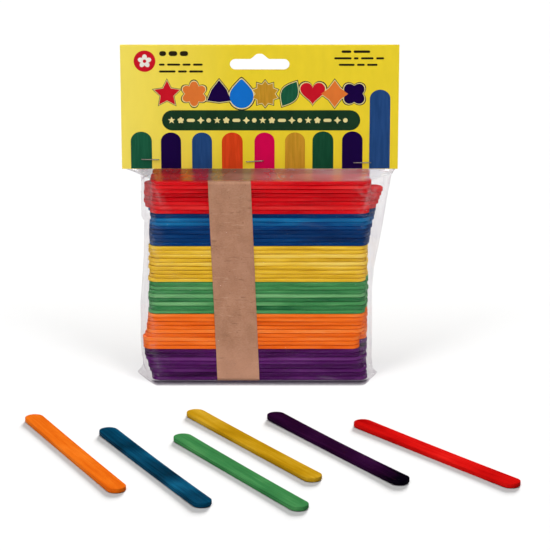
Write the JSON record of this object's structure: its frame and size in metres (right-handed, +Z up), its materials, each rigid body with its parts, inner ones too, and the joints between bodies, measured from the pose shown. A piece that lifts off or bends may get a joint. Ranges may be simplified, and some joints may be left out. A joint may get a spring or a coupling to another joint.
{
  "type": "hang-card bag of coloured craft sticks",
  "caption": "Clear bag of dyed wooden craft sticks in a banded stack under a stapled, folded hang card, with one loose stick of each colour lying in front.",
  "frame": {"origin": "centre of the face that the bag stands on", "axes": "+X along the bagged sticks, to the right as seen from the printed front; +Z up; the front of the card looks along -Y"},
  "size_m": [0.244, 0.2091, 0.1796],
  "materials": {
    "purple_dyed_wood": "matt, stained through",
    "orange_dyed_wood": "matt, stained through",
    "green_dyed_wood": "matt, stained through",
    "yellow_dyed_wood": "matt, stained through",
    "blue_dyed_wood": "matt, stained through",
    "red_dyed_wood": "matt, stained through",
    "kraft_paper": "matt",
    "clear_film": "clear, glossy",
    "printed_card": "semi-gloss print",
    "staple_wire": "bright wire"
  },
  "bodies": {
    "pack": {"purple_sticks_front": "purple_dyed_wood", "orange_sticks_front": "orange_dyed_wood", "green_sticks_front": "green_dyed_wood", "yellow_sticks_front": "yellow_dyed_wood", "blue_sticks_front": "blue_dyed_wood", "red_sticks_front": "red_dyed_wood", "purple_sticks_middle": "purple_dyed_wood", "orange_sticks_middle": "orange_dyed_wood", "green_sticks_middle": "green_dyed_wood", "yellow_sticks_middle": "yellow_dyed_wood", "blue_sticks_middle": "blue_dyed_wood", "red_sticks_middle": "red_dyed_wood", "purple_sticks_back": "purple_dyed_wood", "orange_sticks_back": "orange_dyed_wood", "green_sticks_back": "green_dyed_wood", "yellow_sticks_back": "yellow_dyed_wood", "blue_sticks_back": "blue_dyed_wood", "red_sticks_back": "red_dyed_wood", "paper_band": "kraft_paper", "poly_bag": "clear_film", "header_card": "printed_card", "left_staple": "staple_wire", "middle_staple": "staple_wire", "right_staple": "staple_wire"},
    "purple_stick": {"loose_purple_stick": "purple_dyed_wood"},
    "orange_stick": {"loose_orange_stick": "orange_dyed_wood"},
    "green_stick": {"loose_green_stick": "green_dyed_wood"},
    "yellow_stick": {"loose_yellow_stick": "yellow_dyed_wood"},
    "blue_stick": {"loose_blue_stick": "blue_dyed_wood"},
    "red_stick": {"loose_red_stick": "red_dyed_wood"}
  },
  "joints": [
    {"name": "lift_purple_stick", "type": "slide", "parent": "pack", "child": "purple_stick", "axis": [0, 0, 1], "range_m": [0, 0.15]},
    {"name": "lift_orange_stick", "type": "slide", "parent": "pack", "child": "orange_stick", "axis": [0, 0, 1], "range_m": [0, 0.15]},
    {"name": "lift_green_stick", "type": "slide", "parent": "pack", "child": "green_stick", "axis": [0, 0, 1], "range_m": [0, 0.15]},
    {"name": "lift_yellow_stick", "type": "slide", "parent": "pack", "child": "yellow_stick", "axis": [0, 0, 1], "range_m": [0, 0.15]},
    {"name": "lift_blue_stick", "type": "slide", "parent": "pack", "child": "blue_stick", "axis": [0, 0, 1], "range_m": [0, 0.15]},
    {"name": "lift_red_stick", "type": "slide", "parent": "pack", "child": "red_stick", "axis": [0, 0, 1], "range_m": [0, 0.15]}
  ]
}
